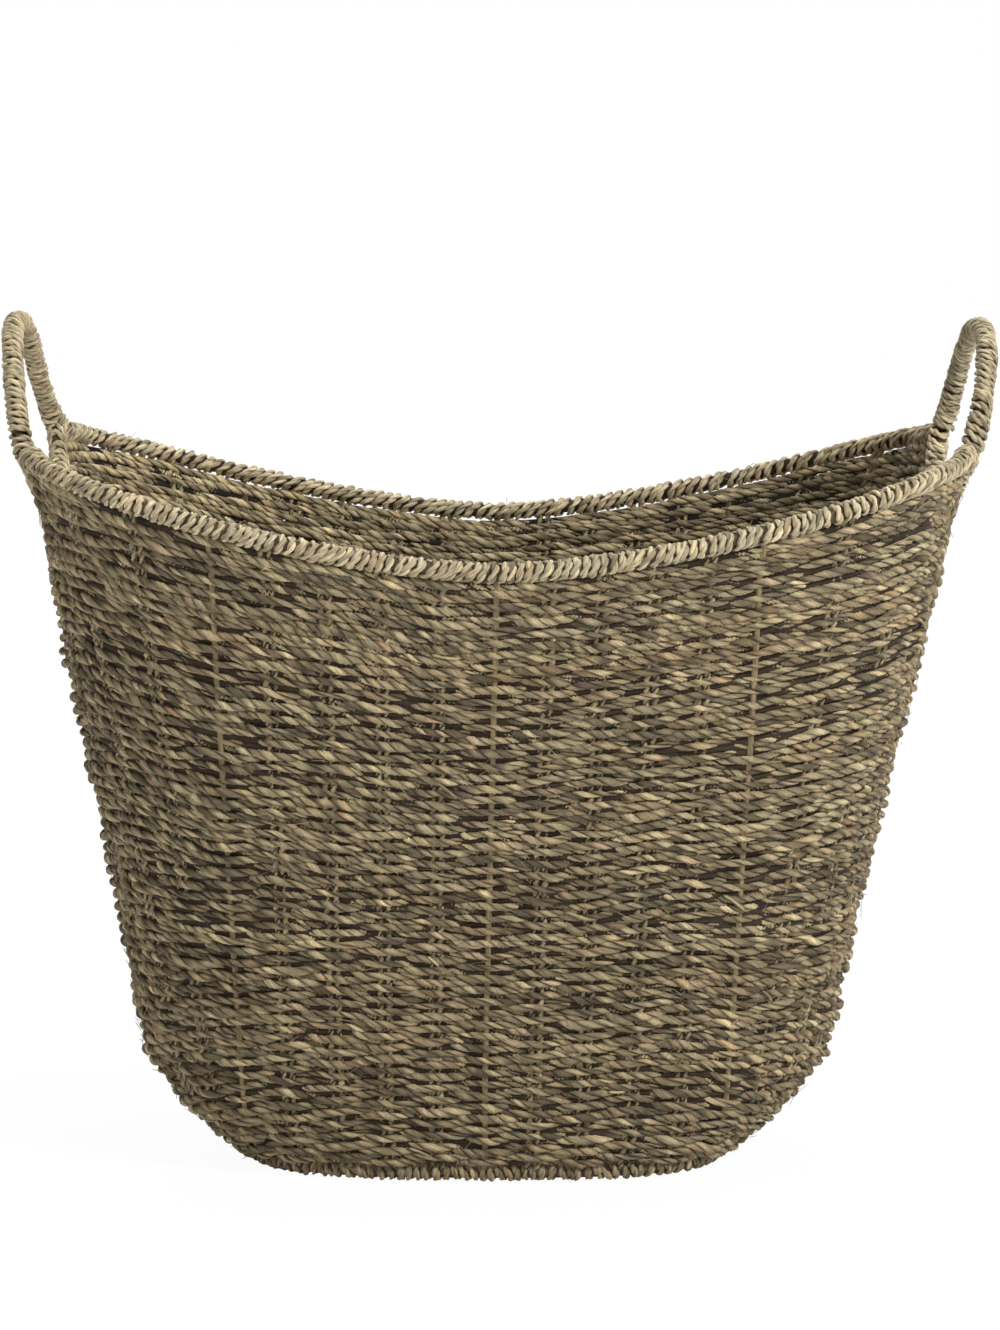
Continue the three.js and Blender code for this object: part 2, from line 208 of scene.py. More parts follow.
def knee_sizes(turn):
    out = math.sin(turn) ** (2 / KNEE_BULGE_POWER)
    return {"half_length": lerp(BASE_HALF_LENGTH, KNEE_HALF_LENGTH, out),
            "half_depth": lerp(BASE_HALF_DEPTH, KNEE_HALF_DEPTH, out),
            "power": lerp(BASE_POWER, KNEE_POWER, out),
            "corner": lerp(CORNER_SHARES[0], CORNER_SHARES[1], out),
            "knee_up": 1 - math.cos(turn) ** (2 / KNEE_BULGE_POWER), "wall_up": 0.0}


def wall_sizes(wall_up):
    inset = np.interp(wall_up, [0, WAIST[0], SHOULDER[0], 1], [0, WAIST[1], SHOULDER[1], 0])
    return {"half_length": lerp(KNEE_HALF_LENGTH, RIM_HALF_LENGTH, wall_up) - inset,
            "half_depth": lerp(KNEE_HALF_DEPTH, RIM_HALF_DEPTH, wall_up) - inset,
            "power": lerp(KNEE_POWER, RIM_POWER, wall_up),
            "corner": lerp(CORNER_SHARES[1], CORNER_SHARES[2], wall_up),
            "knee_up": 1.0, "wall_up": wall_up}


def rim_height(x, y):
    saddle = (RIM_HIGH - RIM_LOW) * np.minimum(np.abs(x) / RIM_HALF_LENGTH, 1) ** SADDLE_POWER
    return RIM_LOW + saddle - END_DIP * leg_gap(y)


U = np.arange(SAMPLES) * COLUMNS / SAMPLES
LEVELS = [knee_sizes(turn) for turn in np.linspace(0, math.pi / 2, KNEE_LEVELS)]
LEVELS += [wall_sizes(wall_up) for wall_up in np.linspace(0, 1, WALL_LEVELS)[1:]]
RIM_X, RIM_Y = plan(LEVELS[-1], U)
TOP = rim_height(RIM_X, RIM_Y)


def body_grid():
    rings = []
    for sizes in LEVELS:
        x, y = plan(sizes, U)
        low = lerp(BINDING_RADIUS, KNEE_HEIGHT, sizes["knee_up"])
        z = lerp(low, TOP, sizes["wall_up"])
        rings.append(np.stack([x - BASE_LEAN * (1 - sizes["wall_up"]), y, z], 1))
    return np.array(rings)


GRID = body_grid()
CHAIN = np.concatenate([np.zeros((1, SAMPLES)),
                        np.cumsum(np.linalg.norm(np.diff(GRID, axis=0), axis=2), axis=0)])


def rows_on_wall(shares, start, end, shifts):
    """Points of the wall at shares of the way up each column, moved up by the shifts."""
    total = CHAIN[-1]
    notch = END_DIP * leg_gap(RIM_Y) / (TOP - KNEE_HEIGHT)
    shares = np.asarray(shares, float)
    shifts = np.broadcast_to(shifts, (len(shares), SAMPLES))
    rows = np.zeros((len(shares), SAMPLES, 3))
    for i in range(SAMPLES):
        stretched = shares * (1 + notch[i] * (1 - np.clip(shares, 0, 1) ** NOTCH_FADE))
        place = start + (total[i] - start - end) * stretched + shifts[:, i]
        for k in range(3):
            rows[:, i, k] = np.interp(place, CHAIN[:, i], GRID[:, i, k])
    return rows


def row_layout():
    """Shares, shifts, sides and weights of the rows.

    The wall is longer at its ends than at its middle, so pairs of short rows fill up the
    ends, and push the rows next to them apart."""
    length = CHAIN[-1] + END_DIP * leg_gap(RIM_Y)
    full = int(round(length.min() / ROW_PITCH / 2)) * 2
    need = (length - length.min()) / (2 * ROW_PITCH)
    pairs = int(need.max() + PAIR_ROUNDING)
    group = full / pairs
    ranks = [(rank * RANK_STEP + RANK_START) % pairs for rank in range(pairs)]
    present = np.array([ramp(need - rank, *PAIR_RAMP) for rank in ranks])
    present[(present > PRESENT).sum(1) < SHORTEST_PAIR] = 0
    pair_rows = [int((pair + 0.5) * group) for pair in range(pairs)]
    shares, shifts, sides, weights = [], [], [], []
    for row in range(full):
        shift = np.zeros(SAMPLES)
        for pair, pair_row in enumerate(pair_rows):
            gap = (row + 0.5 - pair_row) / (group / 2)
            shift += present[pair] * ROW_PITCH * np.sign(gap) * max(0, 1 - abs(gap))
        shares.append((row + 0.5) / full)
        shifts.append(shift)
        sides.append(row)
        weights.append(np.ones(SAMPLES))
    for pair, pair_row in enumerate(pair_rows):
        for half in (0, 1):
            shares.append(pair_row / full)
            shifts.append((half - 0.5) * ROW_PITCH * present[pair])
            sides.append(pair_row + half)
            weights.append(present[pair])
    order = np.argsort(shares, kind="stable")
    return [np.array(part)[order] for part in (shares, shifts, sides, weights)]


# Strands into meshes. Each strand gets its own stretch of the streaks, and each of its sides,
# a blade, its own tone. Its side toward the middle of the cord, the root, has painted shade
SIDES = 6
PAINTED_ROOT_SHADE, ROOT_POWER = 0.68, 1.5
TAPERED_SHARE = 0.25
SEED_STEP = 1.37
FIBRE_ALONG, SEED_ALONG, SEED_ACROSS = 0.09, 3.1, 0.7
BLADE_SPLIT, BLADE_WAVE, BLADE_SEED, BLADE_TURN = 0.24, 0.13, 1.7, 2.4
FLOOR_GAP = 0.05

# Cells of the bake's map: rings in a cell, its shape, and its margins
CHUNK = 48
CELL_SHAPE = 9
MARGIN_ALONG, MARGIN_ROUND = 0.02, 0.08


class Strands:
    """Gathers strands of one piece: each is a tube with its own colours along it."""

    def __init__(self, sides=SIDES, painted_root_shade=PAINTED_ROOT_SHADE):
        self.sides = sides
        self.painted_root_shade = painted_root_shade
        angle = np.arange(sides) * TAU / sides
        self.cosines, self.sines = np.cos(angle), np.sin(angle)
        self.verts, self.quads, self.caps = [], [], []
        self.tints, self.fibres, self.uv_cells = [], [], []
        self.count = 0
        self.seed = 0.0

    def add(self, points, refs, across, along, tint, closed, taper=False):
        """refs point from the strand's middle to the side whose half-width is across."""
        forward = tangents(points, closed)
        first = unit(refs - dot(refs, forward) * forward)
        second = np.cross(forward, first)
        across = np.full(len(points), across, float)
        along = np.full(len(points), along, float)
        if taper:
            for widths in (across, along):
                widths[[0, -1]] *= TAPERED_SHARE
        ring = (points[:, None] + first[:, None] * (across[:, None] * self.cosines)[..., None]
                + second[:, None] * (along[:, None] * self.sines)[..., None])
        self.verts.append(ring.reshape(-1, 3))
        self.seed += SEED_STEP
        self.add_looks(places(points), (across + along) / 2, tint)
        self.add_faces(len(points), closed)

    def add_looks(self, place, width, tint):
        """The place of each vertex in the streaks, and its tint, with painted shade at the root.
        """
        streak = (place * FIBRE_ALONG + self.seed * SEED_ALONG)[:, None]
        fibre = np.stack([np.broadcast_to(streak, (len(place), self.sides)),
                          width[:, None] * self.cosines,
                          width[:, None] * self.sines + self.seed * SEED_ACROSS], -1)
        self.fibres.append(fibre.reshape(-1, 3))
        tint = np.broadcast_to(tint, (len(place), 3))[:, None]
        # Painted shade: the side of each ply toward the middle of the cord is darker
        root = 1 - self.painted_root_shade * (0.5 - 0.5 * self.cosines) ** ROOT_POWER
        blades = 1 + BLADE_SPLIT * np.sin(place[:, None] * BLADE_WAVE + self.seed * BLADE_SEED
                                          + BLADE_TURN * np.arange(self.sides))
        self.tints.append((tint * (root * blades)[..., None]).reshape(-1, 3))

    def add_faces(self, count, closed):
        sides = self.sides
        spans = count if closed else count - 1
        ring = np.repeat(np.arange(spans), sides)
        side = np.tile(np.arange(sides), spans)
        next_side = (side + 1) % sides
        base = self.count
        here, there = base + ring * sides, base + (ring + 1) % count * sides
        self.quads.append(np.stack([here + side, here + next_side, there + next_side,
                                    there + side], 1))
        self.uv_cells.append((spans, sides))
        self.count += count * sides
        if not closed:
            last = base + (count - 1) * sides
            self.caps.append([base + k for k in range(sides)][::-1])
            self.caps.append([last + k for k in range(sides)])


def add_object(name, data):
    obj = bpy.data.objects.new(name, data)
    bpy.context.scene.collection.objects.link(obj)
    return obj


def strand_uvs(strands):
    """Each strand is cut into chunks, and each chunk has its own cell of the bake's map."""
    total = sum(-(-spans // CHUNK) for spans, _ in strands.uv_cells)
    cols = max(int(round(math.sqrt(total / CELL_SHAPE))), 1)
    rows = -(-total // cols)
    long, tall = 1 - 2 * MARGIN_ALONG, 1 - 2 * MARGIN_ROUND
    corners = []
    cell = 0
    for spans, sides in strands.uv_cells:
        ring = np.repeat(np.arange(spans), sides)
        side = np.tile(np.arange(sides), spans)
        own_cell = cell + ring // CHUNK
        col, row = own_cell % cols + MARGIN_ALONG, own_cell // cols + MARGIN_ROUND
        place = ring % CHUNK
        u0, u1 = [(col + long * (place + k) / CHUNK) / cols for k in (0, 1)]
        v0, v1 = [(row + tall * (side + k) / sides) / rows for k in (0, 1)]
        corners.append(np.stack([u0, v0, u0, v1, u1, v1, u1, v0], 1).reshape(-1, 2))
        cell += -(-spans // CHUNK)
    return np.concatenate(corners)


def strand_mesh(name, strands, floor):
    verts = np.concatenate(strands.verts)
    quads = np.concatenate(strands.quads)
    if floor:
        verts[:, 2] = np.maximum(verts[:, 2], FLOOR_GAP)
    mesh = bpy.data.meshes.new(name)
    mesh.vertices.add(len(verts))
    mesh.vertices.foreach_set("co", (verts * MM).astype(np.float32).ravel())
    loops = quads.ravel().tolist()
    sizes = [4] * len(quads)
    for cap in strands.caps:
        loops += cap
        sizes.append(len(cap))
    mesh.loops.add(len(loops))
    mesh.loops.foreach_set("vertex_index", loops)
    mesh.polygons.add(len(sizes))
    starts = np.concatenate([[0], np.cumsum(sizes)[:-1]])
    mesh.polygons.foreach_set("loop_start", starts.astype(np.int32))
    mesh.polygons.foreach_set("use_smooth", np.ones(len(sizes), bool))
    mesh.update(calc_edges=True)
    tint = mesh.attributes.new("tint", "FLOAT_COLOR", "POINT")
    rgba = np.ones((len(verts), 4), np.float32)
    rgba[:, :3] = np.concatenate(strands.tints)
    tint.data.foreach_set("color", rgba.ravel())
    fibre = mesh.attributes.new("fibre", "FLOAT_VECTOR", "POINT")
    fibre.data.foreach_set("vector", np.concatenate(strands.fibres).astype(np.float32).ravel())
    uv = mesh.uv_layers.new(name="OFBake")
    flat = np.zeros((len(loops), 2), np.float32)
    flat[:len(quads) * 4] = strand_uvs(strands)
    uv.data.foreach_set("uv", flat.ravel())
    mesh.validate()
    return mesh


def make_piece(name, strands, material, nodes, floor=False):
    """Makes the mesh of a piece. With floor, nothing of it goes below the floor."""
    mesh = strand_mesh(name, strands, floor)
    mesh.materials.append(material)
    obj = add_object(name, mesh)
    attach(obj, "root")
    if nodes:
        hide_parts(*nodes)


# Materials

def new_material(name):
    mat = bpy.data.materials.new(name)
    mat.use_nodes = True
    return mat, mat.node_tree.nodes


def set_inputs(node, values):
    for name, value in values.items():
        node.inputs[name].default_value = value
    return node


def link(source, output, node, socket):
    node.id_data.links.new(source.outputs[output], node.inputs[socket])


def fibre_material(name, roughness, bump, contrast, sheen):
    """Streaks along the strands, over the strands' own tints and their painted shade."""
    mat, nodes = new_material(name)
    nodes.clear()
    out = nodes.new("ShaderNodeOutputMaterial")
    shader = set_inputs(nodes.new("ShaderNodeBsdfPrincipled"), {
        "Roughness": roughness, "Specular IOR Level": 0.3, "Sheen Weight": sheen})
    tint = nodes.new("ShaderNodeAttribute")
    tint.attribute_name = "tint"
    fibre = nodes.new("ShaderNodeAttribute")
    fibre.attribute_name = "fibre"
    streak = set_inputs(nodes.new("ShaderNodeTexNoise"), {
        "Scale": 2.6, "Detail": 3.0, "Roughness": 0.62})
    span = set_inputs(nodes.new("ShaderNodeMapRange"), {
        "From Min": 0.3, "From Max": 0.7, "To Min": 1 - contrast, "To Max": 1 + contrast})
    scale = nodes.new("ShaderNodeVectorMath")
    scale.operation = "SCALE"
    bumps = set_inputs(nodes.new("ShaderNodeBump"), {"Strength": bump, "Distance": 0.0006})
    link(fibre, "Vector", streak, "Vector")
    link(streak, "Fac", span, "Value")
    link(tint, "Color", scale, 0)
    link(span, "Result", scale, "Scale")
    link(scale, "Vector", shader, "Base Color")
    link(streak, "Fac", bumps, "Height")
    link(bumps, "Normal", shader, "Normal")
    link(shader, "BSDF", out, "Surface")
    return mat


def wire_material():
    mat, nodes = new_material("tan_wire")
    shader = set_inputs(nodes["Principled BSDF"], {"Roughness": 0.5})
    place = nodes.new("ShaderNodeTexCoord")
    noise = set_inputs(nodes.new("ShaderNodeTexNoise"), {"Scale": 60.0})
    shades = nodes.new("ShaderNodeValToRGB")
    dark, light = shades.color_ramp.elements
    dark.position = 0.3
    dark.color = (*linear((112, 96, 66)), 1)
    light.position = 0.7
    light.color = (*linear((146, 128, 92)), 1)
    link(place, "Object", noise, "Vector")
    link(noise, "Fac", shades, "Fac")
    link(shades, "Color", shader, "Base Color")
    return mat


def floor_material():
    """White to the camera, more so away from the basket, and pale grey to everything else."""
    mat, nodes = new_material("pale_floor")
    shader = set_inputs(nodes["Principled BSDF"], {
        "Base Color": (0.9, 0.9, 0.9, 1), "Roughness": 0.9})
    glow = set_inputs(nodes.new("ShaderNodeEmission"), {"Strength": 1.03})
    mix = nodes.new("ShaderNodeMixShader")
    path = nodes.new("ShaderNodeLightPath")
    place = nodes.new("ShaderNodeTexCoord")
    away = nodes.new("ShaderNodeVectorMath")
    away.operation = "LENGTH"
    white = set_inputs(nodes.new("ShaderNodeMapRange"), {
        "From Min": 0.3, "From Max": 0.9, "To Min": 0.93, "To Max": 1.0})
    white.interpolation_type = "SMOOTHSTEP"
    share = nodes.new("ShaderNodeMath")
    share.operation = "MULTIPLY"
    link(place, "Object", away, 0)
    link(away, "Value", white, "Value")
    link(white, "Result", share, 1)
    link(path, "Is Camera Ray", share, 0)
    link(share, "Value", mix, "Fac")
    link(shader, "BSDF", mix, 1)
    link(glow, "Emission", mix, 2)
    link(mix, "Shader", nodes["Material Output"], "Surface")
    return mat


cord_material = fibre_material("seagrass_cord", 0.66, 0.9, 0.55, 0.05)
wrap_material = fibre_material("seagrass_wrap", 0.6, 0.9, 0.5, 0.05)
wire_mat = wire_material()

# Colours along strands
STRAW = linear((204, 184, 142))
OLIVE = linear((160, 142, 108))
GREY_GREEN = linear((152, 146, 118))
BROWN = linear((134, 108, 78))
PLUM = linear((118, 98, 88))
CORAL = linear((182, 144, 114))
LIME = linear((166, 162, 118))
CREAM = linear((206, 192, 158))
TAN = linear((150, 132, 96))

# An accent is an odd colour and its chance, which is rarer the lower it is
WALL_ACCENTS = ((CORAL, -3.0), (LIME, -2.8), (PLUM, -2.2), (STRAW, -1.2))
WRAP_ACCENTS = ((CORAL, -2.9), (LIME, -2.4), (OLIVE, -1.2))

# Lengths and sizes of the changes along a strand, and what each strand has of its own
SLOW_TONE, QUICK_TONE = (28, 0.5), (6, 0.85)
OWN_TONE, OWN_HUE = 0.4, 0.5
TONE_RANGE, ACCENT_TONE_RANGE = (0.45, 1.5), (0.6, 1.3)
HUE_LENGTH, HUE_SHARE, ACCENT_CHANGE = 45, 0.45, (22, 1.6)


def strand_colours(rng, place, base, spread, accents):
    """Colours along one strand: changes of lightness and hue, and a few odd blades."""
    tone = 1 + spread * (line_noise(rng, place, *SLOW_TONE)
                         + line_noise(rng, place, *QUICK_TONE) + OWN_TONE * rng.normal())
    change = line_noise(rng, place, HUE_LENGTH) + OWN_HUE * rng.normal()
    hue = 0.5 + 0.5 * np.clip(change, -1, 1)
    colour = lerp(GREY_GREEN, BROWN, hue[:, None]) * HUE_SHARE + base * (1 - HUE_SHARE)
    colour = colour * np.clip(tone, *TONE_RANGE)[:, None]
    for shade, chance in accents:
        mask = np.clip(line_noise(rng, place, *ACCENT_CHANGE) + chance, 0, 1)
        toned = shade * np.clip(tone, *ACCENT_TONE_RANGE)[:, None]
        colour = lerp(colour, toned, mask[:, None])
    return colour


def colours_of(base, spread, accents, lighter=1.0):
    """Colour function for the strands of a piece."""
    return lambda rng, place: strand_colours(rng, place, base, spread, accents) * lighter


# Twisted cord: how the two plies lie and how unevenly they were twisted. Drift and thickness
# change in whole waves round a ring, and over a length along an open cord
PLY_SQUASH, PLY_OUTWARD, PLY_ALONG = 0.88, 0.9, 1.26
HELIX_SWELL = 0.45
TWIST_DRIFT, DRIFT_WAVES, DRIFT_LENGTH = 0.9, (5, 30), 25
THICK_CHANGE, THICK_RANGE = 0.28, (0.6, 1.35)
THICK_WAVES, WAVE_LENGTH, THICK_TERMS, THICK_LENGTH = (4, 6), 28, 9, 14


def twisted(strands, rng, points, outward, pitch, ply, helix, colours, closed, step):
    """Two plies twisted round a line. outward points out of the surface that it lies on."""
    both = np.hstack([points, np.broadcast_to(outward, points.shape)])
    both, place, length = resample(both, step, closed)
    line, out = both[:, :3], both[:, 3:]
    forward = tangents(line, closed)
    out = unit(out - dot(out, forward) * forward)
    aside = np.cross(out, forward)
    turns = round(length / pitch) if closed else length / pitch
    phase = rng.random() * TAU
    if closed:
        drift = TWIST_DRIFT * ring_noise(rng, len(line), *DRIFT_WAVES)
    else:
        drift = TWIST_DRIFT * line_noise(rng, place, DRIFT_LENGTH)
    angle = phase - TAU * turns * place / length + drift
    for side in (0, math.pi):
        radial = (out * np.cos(angle + side)[:, None] * PLY_SQUASH
                  + aside * np.sin(angle + side)[:, None])
        if closed:
            waves = max(int(length / WAVE_LENGTH), THICK_WAVES[1])
            change = ring_noise(rng, len(line), THICK_WAVES[0], waves, THICK_TERMS)
        else:
            change = line_noise(rng, place, THICK_LENGTH)
        thick = np.clip(1 + THICK_CHANGE * change, *THICK_RANGE)
        centre = line + radial * (helix * (1 - HELIX_SWELL + HELIX_SWELL * thick))[:, None]
        strands.add(centre, radial, ply * thick * PLY_OUTWARD, ply * thick * PLY_ALONG,
                    colours(rng, place), closed)


# Wall: its cord, its rows and how far they start from the bindings
BANDS = 14
WALL_OUT = 1.0
WEAVE_DEPTH, WEAVE_SQUARENESS = 1.5, 1.2
CORD_PLY, CORD_HELIX, CORD_STEP = 1.27, 0.88, 1.6
CORD_PITCH, CORD_PITCH_CHANGE = 15.0, 0.1
BASE_GAP, RIM_GAP = 0.6, 0.2
UP_ROWS = 3
TUCK_SAMPLES, TUCK_DEPTH = 8, 2.5

# Zones of the wall: where each starts and how long it takes to grow in full, as shares of the
# half-length or of the height. A minus sign is downward
END_ZONE = (0.6, 0.3)
HIGH_ZONE = (0.78, 0.12)
LOW_ZONE = (0.4, -0.3)
EDGE_ROWS = 4

# Uneven rows: sizes, the least and the most waves round the ring, and steps of the swells
SHARED_TERMS, SHARED_WAVES, SHARED_DRIFT, SHARED_LIFT = 12, (2, 18), 0.02, 0.22
ROW_LIFT, ROW_LIFT_WAVES = 0.36, (20, 60)
HIGH_FLATTER, DEPTH_CHANGE, DEPTH_WAVES = 0.3, 0.2, (6, 40)
BULGE, BULGE_WAVES = 0.3, (10, 50)
CORNER_BULGE, CORNER_POWER = 0.5, 3
SWELL_ROWS, SWELL_SAMPLES, SWELL_SIDES, SWELL_ENDS = 4, 24, 0.25, 0.65
SIDE_SLIP, SIDE_SLIP_WAVES = 0.3, (8, 40)
HIGH_THICKER, LOW_THICKER, ROW_SIZE_CHANGE = 0.06, 0.05, 0.06

# Tones of the wall. A pair is a lowest value and the width of the random range over it
# The first value is the painted shade on each ply's side toward the middle of its cord
WALL_PAINTED_ROOT_SHADE, WALL_SPREAD = 0.86, 0.5
STRAW_SHARES, ROW_TONES = (0.25, 0.4), (0.94, 0.2)
# Painted light: the high rows are lighter round one column; its place, width and lift
PAINTED_LIGHT_COLUMN, PAINTED_LIGHT_WIDTH, PAINTED_LIGHT_LIFT = 32, 5, 0.4

# Packing in the middle of the wall, darkened as painted shade, and the holes in it under the rim
PACK_PAINTED_SHADE, PACK_TONES, PACK_STEP = 0.2, (0.8, 0.4), 7.0
PACK_ACROSS, PACK_ALONG = 0.8, 1.95
HOLE_WAVES, HOLE_ROWS, HOLE_FROM_Y, HOLE_LEVEL = (6, 40), 5, 40, 0.7


def wall_lines(shares, start, end, shifts=0.0):
    """Lines round the wall, and the unit ways out of it and up it."""
    rows = rows_on_wall(shares, start, end, shifts)
    around = unit(np.roll(rows, -1, 1) - np.roll(rows, 1, 1))
    row = np.arange(len(rows))
    up = rows[np.minimum(row + UP_ROWS, row[-1])] - rows[np.maximum(row - UP_ROWS, 0)]
    up = unit(up - dot(up, around) * around)
    out = np.cross(around, up)
    return rows + out * WALL_OUT, out, up


def lumps(rng, rows, count, row_step, column_step):
    """Smooth random heights over rows and places round the ring, about -1 to 1."""
    tall, wide = rows // row_step + 3, count // column_step
    knots = rng.normal(size=(tall, wide))
    y = np.arange(rows) / row_step
    x = np.arange(count) / column_step
    i, j = y.astype(int), x.astype(int)
    up_share, side_share = smooth(y - i)[:, None], smooth(x - j)[None]
    low = lerp(knots[i][:, j % wide], knots[i][:, (j + 1) % wide], side_share)
    high = lerp(knots[i + 1][:, j % wide], knots[i + 1][:, (j + 1) % wide], side_share)
    return lerp(low, high, up_share)


def weave_wave(u, row):
    """Side of the uprights that a row lies on: 1 outside, -1 inside."""
    wave = np.cos(math.pi * (u / 2 + row))
    return np.tanh(WEAVE_SQUARENESS * wave) / math.tanh(WEAVE_SQUARENESS)


def runs(weight):
    """Runs of samples in which a row is present, each with True if it is the whole ring."""
    on = weight > PRESENT
    if on.all():
        return [(slice(None), True)]
    start = int(np.nonzero(~on)[0][0])
    found, run = [], []
    for i in (np.arange(len(on)) + start) % len(on):
        if on[i]:
            run.append(i)
        elif run:
            found.append(np.array(run))
            run = []
    if run:
        found.append(np.array(run))
    return [(run, False) for run in found if len(run) > SHORTEST_RUN]


def pack_fibre_painted_shade(strands, rng, line, side, weight, rows_above):
    """Fibre packed mid-wall, its dark colour painted shade, with a few holes under the rim."""
    under_rim = (rows_above <= HOLE_ROWS) * (RIM_Y > HOLE_FROM_Y)
    hole = ring_noise(rng, len(line), *HOLE_WAVES) * under_rim
    # Its dark tone is painted shade in the gaps between the rows
    tone = BROWN * PACK_PAINTED_SHADE * between(rng, *PACK_TONES)
    for run, closed in runs(weight * (hole < HOLE_LEVEL)):
        points, _, _ = resample(np.hstack([line[run], side[run]]), PACK_STEP, closed)
        strands.add(points[:, :3], points[:, 3:], PACK_ACROSS, PACK_ALONG, tone, closed)


def row_colours(base, pale):
    """Colour function for one row's cord. pale lightens it round the whole ring, as painted
    light.
    """
    plain = colours_of(base, WALL_SPREAD, WALL_ACCENTS)

    def colours(rng, place):
        spot = np.linspace(0, SAMPLES, len(place), endpoint=False)
        return plain(rng, place) * np.interp(spot, np.arange(SAMPLES), pale)[:, None]

    return colours


def weave_row(strands, rng, row):
    """Packs and weaves one row of the wall, in the runs in which it is present."""
    line, out, edge = row["line"], row["out"], row["edge"]
    high, low = ramp(row["share"], *HIGH_ZONE), ramp(row["share"], *LOW_ZONE)
    corner = 0.5 + 0.5 * np.cos(TAU * (4 * U / COLUMNS - 0.5))
    lift = (row["lift"] + ROW_LIFT * ring_noise(rng, SAMPLES, *ROW_LIFT_WAVES)) * edge
    depth = (WEAVE_DEPTH * (1 - HIGH_FLATTER * high)
             * (1 + DEPTH_CHANGE * ring_noise(rng, SAMPLES, *DEPTH_WAVES)))
    bulge = (BULGE * ring_noise(rng, SAMPLES, *BULGE_WAVES)
             + CORNER_BULGE * rng.normal() * corner ** CORNER_POWER + row["swell"] * edge)
    slip = SIDE_SLIP * ring_noise(rng, SAMPLES, *SIDE_SLIP_WAVES)
    wave = weave_wave(U + slip, row["side"])
    packed = line + out * (row["swell"] * edge)[:, None]
    pack_fibre_painted_shade(strands, rng, packed, out, row["weight"], row["rows_above"])
    line = line + row["up"] * lift[:, None] + out * bulge[:, None]
    line = line + out * (wave * depth)[:, None]
    base = lerp(OLIVE, STRAW, between(rng, *STRAW_SHARES)) * between(rng, *ROW_TONES)
    # Painted light: the high rows are lighter round one column
    painted_light = np.exp(-((U - PAINTED_LIGHT_COLUMN) / PAINTED_LIGHT_WIDTH) ** 2)
    pale = 1 + PAINTED_LIGHT_LIFT * high * painted_light
    size = ((1 + HIGH_THICKER * high + LOW_THICKER * low)
            * (1 + ROW_SIZE_CHANGE * rng.normal()))
    for run, closed in runs(row["weight"]):
        part, side = line[run], out[run]
        if not closed:
            to_end = np.minimum(np.arange(len(run)), np.arange(len(run))[::-1])
            part = part - side * (TUCK_DEPTH * (1 - smooth(to_end / TUCK_SAMPLES)))[:, None]
        colours = row_colours(base, pale if closed else np.ones(SAMPLES))
        twisted(strands, rng, part, side, CORD_PITCH * (1 + CORD_PITCH_CHANGE * rng.normal()),
                CORD_PLY * size, CORD_HELIX * size, colours, closed, CORD_STEP)


def weave_wall():
    rng = rng_for("wall")
    shares, shifts, sides, weights = row_layout()
    count = len(weights)
    rows, out, up = wall_lines(shares, BINDING_RADIUS + BASE_GAP, BINDING_RADIUS + RIM_GAP,
                               shifts)
    around, upward = np.arange(SAMPLES), np.arange(count)[:, None]
    lifts = np.zeros((count, SAMPLES))
    for _ in range(SHARED_TERMS):
        lifts += np.sin(TAU * (rng.integers(*SHARED_WAVES) * around / SAMPLES + rng.random()
                               + rng.normal() * SHARED_DRIFT * upward))
    lifts *= SHARED_LIFT
    at_end = ramp(np.abs(RIM_X) / RIM_HALF_LENGTH, *END_ZONE)
    swells = lumps(rng, count, SAMPLES, SWELL_ROWS, SWELL_SAMPLES)
    swells = swells * (SWELL_SIDES + SWELL_ENDS * at_end)
    band_of = np.minimum(np.arange(count) * BANDS // count, BANDS - 1)
    for band in range(BANDS):
        strands = Strands(painted_root_shade=WALL_PAINTED_ROOT_SHADE)
        for i in np.nonzero(band_of == band)[0]:
            weave_row(strands, rng, {
                "line": rows[i], "out": out[i], "up": up[i], "share": shares[i],
                "side": sides[i], "weight": weights[i], "lift": lifts[i], "swell": swells[i],
                "edge": min(min(i, count - 1 - i) / EDGE_ROWS, 1), "rows_above": count - i})
        make_piece(f"woven_wall_courses_{band + 1:02d}", strands, cord_material,
                   ["woven_wall"], floor=True)


# Stakes and frame uprights
UPRIGHT_LEVELS, UPRIGHT_GAP = 60, 2.6
FRAME_EVERY = 5
FRAME_RADIUS, FRAME_STEP, FRAME_SIDES, FRAME_TONES = 1.7, 4.0, 8, (0.92, 0.16)
STAKE_APART, STAKE_PITCH, STAKE_PLY, STAKE_HELIX, STAKE_STEP = 2.1, 10.0, 1.0, 0.9, 1.8
STAKE_SHADE, STAKE_SPREAD = 0.8, 0.3


